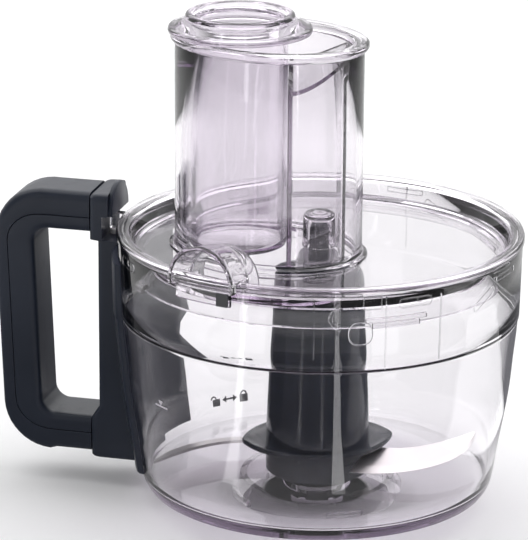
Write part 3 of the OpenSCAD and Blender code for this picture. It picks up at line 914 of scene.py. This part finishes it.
def lid_tab():
    """Hooded thumb tab: an arched hood from the rim back to the deck, a lip, and a plate below it."""
    rim = LID_TOP - 2
    front, rear = 98.6, 74.0

    def arch(x, radius, middle, low, sides=26):
        start = math.asin(max(-0.98, min(0.98, (low - middle) / radius)))
        turns = [start + (math.pi - 2 * start) * k / sides for k in range(sides + 1)]
        return [(x, radius * math.cos(t), middle + radius * math.sin(t)) for t in turns]

    def foot(x):
        """The hood stands on the rim's lip, then on the rim, then on the deck."""
        if x >= 95.2:
            return LID_TOP - 4
        return LID_TOP + 0.05 if x > 83.5 else DECK_Z + 0.05

    loops = []
    for x, edge in ((front, 0.9), (98.2, 0.2), (97.4, 0), (95.2, 0), (95.0, 0), (83.6, 0), (83.3, 0),
                    (75.2, 0), (74.2, 0.6)):
        share = (front - x) / (front - rear)
        radius = 17.5 - 1.5 * share
        middle = rim - 3 * share
        over = arch(x, radius - edge * 0.5, middle, foot(x))
        under = arch(x, radius - 2 + edge * 0.5, middle, foot(x))[::-1]
        loops.append(turned_about(over + under, TAB_AZ))
    az = math.degrees(TAB_AZ)
    lip = raised_bar(az, 18.6, LID_TOP - 4.1, LID_TOP - 1, LID_R + SEAM, LID_R + 3.5, 24, 0.7)
    plate = raised_bar(az, 17, TAB_FOOT, LID_TOP - 4.15, LID_R + SEAM, LID_R + 2, 24, 0.6)
    return piece("lid_thumb_tab", *joined(lofted(loops), lip, plate), CLEAR_LID, "lid_body", "clear_plastic",
                 ["lid_tab"], smooth=40)


# ---------------------------------------------------------------- pushers

def large_pusher():
    foot = CUP_FOOT
    top = FLANGE_TOP - 4
    t = PUSHER_T
    jog = END_WALL_X + 3
    walls = [
        (at_pusher(-t, END_WALL_X), foot + 0.4), (at_pusher(-t + 0.4, END_WALL_X), foot),
        (at_pusher(-0.4, END_WALL_X), foot), (at_pusher(0, END_WALL_X), foot + 0.4),
        (at_pusher(0, END_WALL_X), 170), (at_pusher(0, END_WALL_X), SHELF_Z - 4),
        (at_pusher(0, END_WALL_X + 0.4), SHELF_Z - 3.4), (at_pusher(0, jog - 0.4), SHELF_Z - 0.4),
        (at_pusher(0, jog), SHELF_Z + 0.4), (at_pusher(0, jog), top), (at_pusher(-t, jog), top),
        (at_pusher(-t, jog), SHELF_Z + 0.4), (at_pusher(-t, END_WALL_X), SHELF_Z - 3.6),
        (at_pusher(-t, END_WALL_X), 170),
    ]
    # web beside the small pusher's channel
    outline = rounded(box_outline(WEB_X - t, WEB_X, -37.0, 28.6), 0.3, 2)
    web = lofted([[(x, y, z) for x, y in outline] for z in (foot, foot + 0.4, MOUTH_Z - 0.4, MOUTH_Z)])
    return piece("large_pusher_body", *joined(swept(walls, count=216), web), CLEAR_LID,
                 "large_pusher_body", "clear_plastic", ["large_pusher"])


def pusher_flange():
    inset = PUSHER_IN - PUSHER_T
    z0, z1 = FLANGE_TOP - 4 + SEAM, FLANGE_TOP
    profile = (
        [(inset, z0), (1.0, z0), (1.4, z0 + 0.4), (2.0, z0 + 1.2), (2.2, z0 + 2)]
        + [(2.0, z1 - 0.9), (1.4, z1 - 0.3), (0.6, z1), (-1.6, z1), (-2.0, z1 - 0.5), (-3.4, z1 - 0.7),
           (-4.2, z1 - 0.4), (-4.8, z1 - 0.4), (inset + 0.1, z1 - 0.8), (inset, z1 - 1.4)]
    )
    return piece("pusher_flange_rim", *swept(profile, tube_oval, 176), CLEAR_LID, "large_pusher_body",
                 "clear_plastic", ["pusher_flange"])


def pusher_chute():
    """Scooped floor from the open mouth down to the small channel."""
    high_z = FLANGE_TOP - 4.4
    steps, across = 18, 16
    top, low = [], []
    for i in range(steps + 1):
        s = i / steps
        x = WEB_X + SEAM + (END_WALL_X + 0.8 - WEB_X) * s
        drop = MOUTH_Z + (high_z - MOUTH_Z) * s ** 1.4
        ys = []
        for turn in range(720):
            px, py = tube_oval(TAU * turn / 720, PUSHER_IN - PUSHER_T - 0.05)
            if abs(px - x) < 0.6:
                ys.append(py)
        y0, y1 = (min(ys), max(ys)) if ys else (-12, -10)
        row_top, row_low = [], []
        for j in range(across + 1):
            t = j / across
            y = y0 + (y1 - y0) * t
            cup = 2.0 * (2 * t - 1) ** 2 * (1 - s)
            row_top.append((x, y, drop + cup))
            row_low.append((x, y, drop + cup - 2))
        top.append(row_top)
        low.append(row_low)
    loops = [a + b[::-1] for a, b in zip(top, low)]
    return piece("pusher_chute_floor", *lofted(loops), CLEAR_LID, "large_pusher_body", "clear_plastic",
                 ["pusher_chute"])


def small_pusher():
    centre = circle_at(CUP_X, 0)
    foot = CUP_FOOT
    top = COLLAR_Z + 2 - SEAM
    r = CUP_R
    cup = (
        [(0, foot), (r - 1.2, foot), (r - 0.4, foot + 0.4), (r, foot + 1.2), (r, top), (r - 2, top),
         (r - 2, foot + 4), (r - 2.6, foot + 2.6), (r - 4, foot + 2.2), (0, foot + 2.2)]
    )
    return piece("small_pusher_cup", *swept(cup, centre, 128), LILAC, "small_pusher_body", "lilac_plastic",
                 ["small_pusher"])


def pusher_collar():
    centre = circle_at(CUP_X, 0)
    z, r = COLLAR_Z, COLLAR_R
    profile = (
        [(CUP_R + SEAM, z), (r - 1.2, z), (r - 0.4, z + 0.3), (r, z + 1), (r, z + 1.9), (r - 0.5, z + 2.7),
         (r - 1.4, z + 3.1), (r - 2.4, z + 3.1), (r - 3.2, z + 3.4)]
        + [(28.5, z + 4.3), (27.2, z + 4.9), (26.4, z + 5.7), (25.8, z + 6.4), (CUP_R + SEAM, z + 6.4)]
    )
    return piece("pusher_collar_disc", *swept(profile, centre, 144), CLEAR_LID, "small_pusher_body",
                 "clear_plastic", ["pusher_collar"])


def grip_ring():
    centre = circle_at(CUP_X, 0)
    z, r = COLLAR_Z, CUP_R
    profile = (
        [(r - 2, z + 2), (r, z + 2), (r, z + 6.45), (25.2, z + 6.45), (25.3, z + 7.4), (25, z + 8.4),
         (24.4, z + 9), (23.6, z + 9.3), (r + 0.4, z + 9.3), (r - 0.4, z + 8.8), (r - 0.8, z + 7.6),
         (r - 0.9, z + 6.6), (r - 1.5, z + 6.3), (r - 1.5, z + 4.8), (r - 2, z + 4.5)]
    )
    return piece("grip_ring_lip", *swept(profile, centre, 144), LILAC, "small_pusher_body", "lilac_plastic",
                 ["grip_ring"])


# ---------------------------------------------------------------- knife

def knife_hub():
    z0, pin_top = HUB_LOW.z, HUB_HIGH.z
    outer = smooth_curve([(24.4, 34), (23.5, 55), (22.5, 75), (21.6, 95), (20.9, 107)], 6)
    shoulder = smooth_curve([(20.9, 107), (20.2, 110), (18.4, 112.4), (15, 114), (12, 115), (10.8, 116.2),
                             (9.7, 120)], 5)
    profile = (
        [(21.8, z0 + 0.5), (22.3, z0), (24.0, z0), (24.4, z0 + 0.5)] + outer[:-1] + shoulder
        + [(9.3, 120.7), (8.7, 121), (5.4, 121), (5, 121.4), (5, pin_top), (0, pin_top), (0, 109.4),
           (13.5, 109.4), (17.6, 106), (18.6, 95), (20.8, 34)]
    )
    return piece("knife_column", *swept(profile, count=128), NAVY_GLOSS, "knife", "navy_plastic",
                 ["knife_hub"])


def hub_cap():
    z = HUB_HIGH.z + SEAM
    profile = [(0, z), (4.9, z), (5, z + 0.4), (5, z + 1.8), (4.7, z + 2.8), (4, z + 3.5), (3.1, z + 3.6),
               (2.9, z + 3.1), (2.3, z + 3.1), (2.1, z + 3.6), (0, z + 3.6)]
    return piece("knife_column_cap", *swept(profile, count=72), NAVY_GLOSS, "knife", "navy_plastic",
                 ["hub_cap"])


def blade_carrier():
    """Lens-shaped wing round the hub's foot, turned up towards its rim."""
    half_l, half_w = 36.3, 27.5
    big = (half_l ** 2 + half_w ** 2) / (2 * half_w)
    z0, z1 = CARRIER_LOW.z, CARRIER_HIGH.z

    def lens(turn, t):
        """t is a radius at the hub and a share of the lens outside it."""
        if t >= 20:
            return AXIS(turn, t)
        s = abs(math.sin(turn))
        k = big - half_w
        reach = -k * s + math.sqrt(max(k * k * s * s - k * k + big * big, 0))
        reach = min(reach, half_l - 0.3)
        r = HUB_FOOT_R + (reach - HUB_FOOT_R) * t
        return r * math.cos(turn + math.radians(10)), r * math.sin(turn + math.radians(10))

    profile = [(0, z0), (0.8, z0), (0.93, z0 + 0.4), (1, z0 + 1.2), (1, z1 - 0.6), (0.96, z1 - 0.1),
               (0.9, z1), (0.78, z1 - 0.4), (0.5, z1 - 0.9), (0, z1 - 0.9)]
    return piece("blade_carrier_wing", *swept(profile, lens, 180), NAVY_GLOSS, "knife", "navy_plastic",
                 ["blade_carrier"], smooth=50)


def blade(name, node, turn, lift):
    low = corners(node)[0]
    return BLADES.shape(
        name, "knife", "blade_steel", [node], smooth=25, root=HUB_FOOT_R * MM, reach=77.8 * MM,
        start=turn - math.radians(34), sweep=math.radians(46), width=21 * MM, taper=5.5 * MM,
        point=4.6 * MM, thick=1.4 * MM, foot=low.z * MM, pitch=0.26, lift=lift * MM)


# ---------------------------------------------------------------- what carries over from the frame

def carry_over():
    """CAD pieces whose shape is right keep it and get their finished materials."""
    finishes = {
        "spindle_bush": CHARCOAL, "drive_coupling": CHARCOAL, "rod_guide": CHARCOAL,
        "lock_pointer": CHARCOAL, "spindle_seal": RUBBER, "lock_marks": INK, "level_mark": PALE_INK,
        "rod_spring": STEEL, "drive_spindle": STEEL, "spindle_clip": STEEL, "interlock_rod": WHITE,
        "spindle_cap": NAVY,
    }
    for node, material in finishes.items():
        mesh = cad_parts[node].data
        mesh.materials.clear()
        mesh.materials.append(material)


# ---------------------------------------------------------------- studio

def area_light(name, place, aim, size, power):
    data = bpy.data.lights.new(name, "AREA")
    data.shape = "RECTANGLE"
    data.size, data.size_y = size
    data.energy = power
    light = bpy.data.objects.new(name, data)
    light.location = place
    light.rotation_euler = (Vector(aim) - Vector(place)).to_track_quat("-Z", "Y").to_euler()
    bpy.context.scene.collection.objects.link(light)
    return light


def around(azimuth, distance, height):
    """Place at an azimuth measured from the front, positive to the right."""
    a = math.radians(azimuth)
    return (distance * math.sin(a), -distance * math.cos(a), height)


def paper_floor():
    kit = Kit("paper_floor")
    grain = kit.noise(400, 2.0)
    tone = kit.mix(grain, rgb(0.93, 0.93, 0.93), rgb(0.95, 0.95, 0.95))
    paper = kit.node("ShaderNodeBsdfDiffuse", {}, {"Color": tone, "Roughness": 0.5})
    # painted reflection: rays mirrored off the object see the floor near it painted dark grey, as dark as
    # black card, while camera rays and other rays see the white paper
    painted_dark_reflection = kit.node("ShaderNodeBsdfDiffuse", {}, {"Color": rgb(0.14, 0.14, 0.15)})
    mirrored = kit.node("ShaderNodeLightPath", out="Glossy Depth").at_most(1.0)
    x, y, _ = kit.parts(kit.node("ShaderNodeTexCoord", out=3))
    away = (x * x + y * y).root()
    near = away.above(0.13, 0.03) - away.above(0.42, 0.08)
    paper = kit.finish(kit.node("ShaderNodeMixShader", {}, {0: mirrored * near, 1: paper, 2: painted_dark_reflection}))
    half_width, front, back = 12, -6, 18
    mesh = bpy.data.meshes.new("floor")
    mesh.from_pydata([(-half_width, front, 0), (half_width, front, 0), (half_width, back, 0),
                      (-half_width, back, 0)], [], [(0, 1, 2, 3)])
    mesh.materials.append(paper)
    floor = bpy.data.objects.new("floor", mesh)
    bpy.context.scene.collection.objects.link(floor)


def sky():
    """Dim towards the camera's side, bright behind and above."""
    world = bpy.data.worlds.new("studio")
    bpy.context.scene.world = world
    world.use_nodes = True
    graph = Graph(world.node_tree)
    _, y, z = graph.parts(graph.node("ShaderNodeTexCoord"))
    dim = 0.10 + 0.4 * z.at_least(0.0)
    level = dim + (0.9 - dim) * y.above(0.0, 0.45)
    light = graph.node("ShaderNodeBackground", {}, {0: graph.vector(level, level, level * 1.01), 1: 1.0})
    graph.node("ShaderNodeOutputWorld", {}, {0: light})


def lights():
    middle = (0, 0, 0.12)
    area_light("overhead", (0, 0.45, 1.9), (0, 0.25, 0), (4.6, 1.8), 38)
    area_light("strip_left", around(-42, 1.5, 0.55), middle, (0.12, 0.9), 1.2)
    area_light("strip_front", around(10, 1.75, 0.75), middle, (0.08, 0.8), 0.9)
    area_light("box_right", around(82, 1.5, 0.6), middle, (0.7, 1.1), 2.5)
    area_light("back_wash", (0, 1.7, 1.2), (0, 0.7, 0), (2.4, 0.8), 8)

    # low strips that draw the upright highlights on the knife's column: they lie along a radius, face up
    away, length = 0.27, 0.30
    for name, azimuth, width, power in (("line_left", -38, 0.014, 0.03), ("line_mid", 9, 0.012, 0.026),
                                        ("band_right", 95, 0.16, 0.16)):
        place = around(azimuth, away, 0.006)
        strip = area_light(name, place, around(azimuth, away, 1.0), (length, width), power)
        strip.rotation_euler = (math.pi, 0, math.radians(azimuth - 90))
        strip.visible_camera = False


def camera():
    scene = bpy.context.scene
    data = bpy.data.cameras.new("camera")
    data.sensor_width = 36
    data.lens = 215.0
    view = bpy.data.objects.new("camera", data)
    scene.collection.objects.link(view)
    # it stands on an arc round a point on the drive axis inside the bowl
    elevation, distance, centre_z = math.radians(19.23), 1.518224, (60 + FOOT_Z) * MM
    view.location = (0, -math.cos(elevation) * distance, centre_z + math.sin(elevation) * distance)
    yaw, pitch, roll = (math.radians(a) for a in (-1.036, 17.705, 0.443))
    ahead = Vector((math.sin(yaw) * math.cos(pitch), math.cos(yaw) * math.cos(pitch), -math.sin(pitch)))
    right = ahead.cross(Vector((0, 0, 1))).normalized()
    up = right.cross(ahead)
    across = right * math.cos(roll) + up * math.sin(roll)
    upright = -right * math.sin(roll) + up * math.cos(roll)
    view.rotation_euler = Matrix((across, upright, -ahead)).transposed().to_euler()
    scene.camera = view

    scene.view_settings.view_transform = "Standard"
    scene.cycles.max_bounces = 24
    scene.cycles.transmission_bounces = 20
    scene.cycles.transparent_max_bounces = 24
    scene.cycles.glossy_bounces = 6


CLEAR_BARS = bars_rule("bowl_bars_rule", CLEAR)
LID_BARS = bars_rule("lid_bars_rule", CLEAR_LID)
BLADES = blade_rule(BLADE)

paper_floor()
sky()
lights()
camera()
bowl()
bowl_ramps()
wall_ribs()
moulded_outlines()
bayonet_collar()
handle_spine()
handle_saddle()
grip_shell("grip_inner_shell", "inner", "handle_frame")
grip_shell("grip_outer_cover", "outer", "handle_cover")
thumb_plate()
lid()
tip_socket()
lid_tab()
large_pusher()
pusher_flange()
pusher_chute()
small_pusher()
pusher_collar()
grip_ring()
knife_hub()
hub_cap()
blade_carrier()
blade("left_blade", "lower_blade", math.pi, 0.0)
blade("right_blade", "upper_blade", 0.0, 2.5)
carry_over()
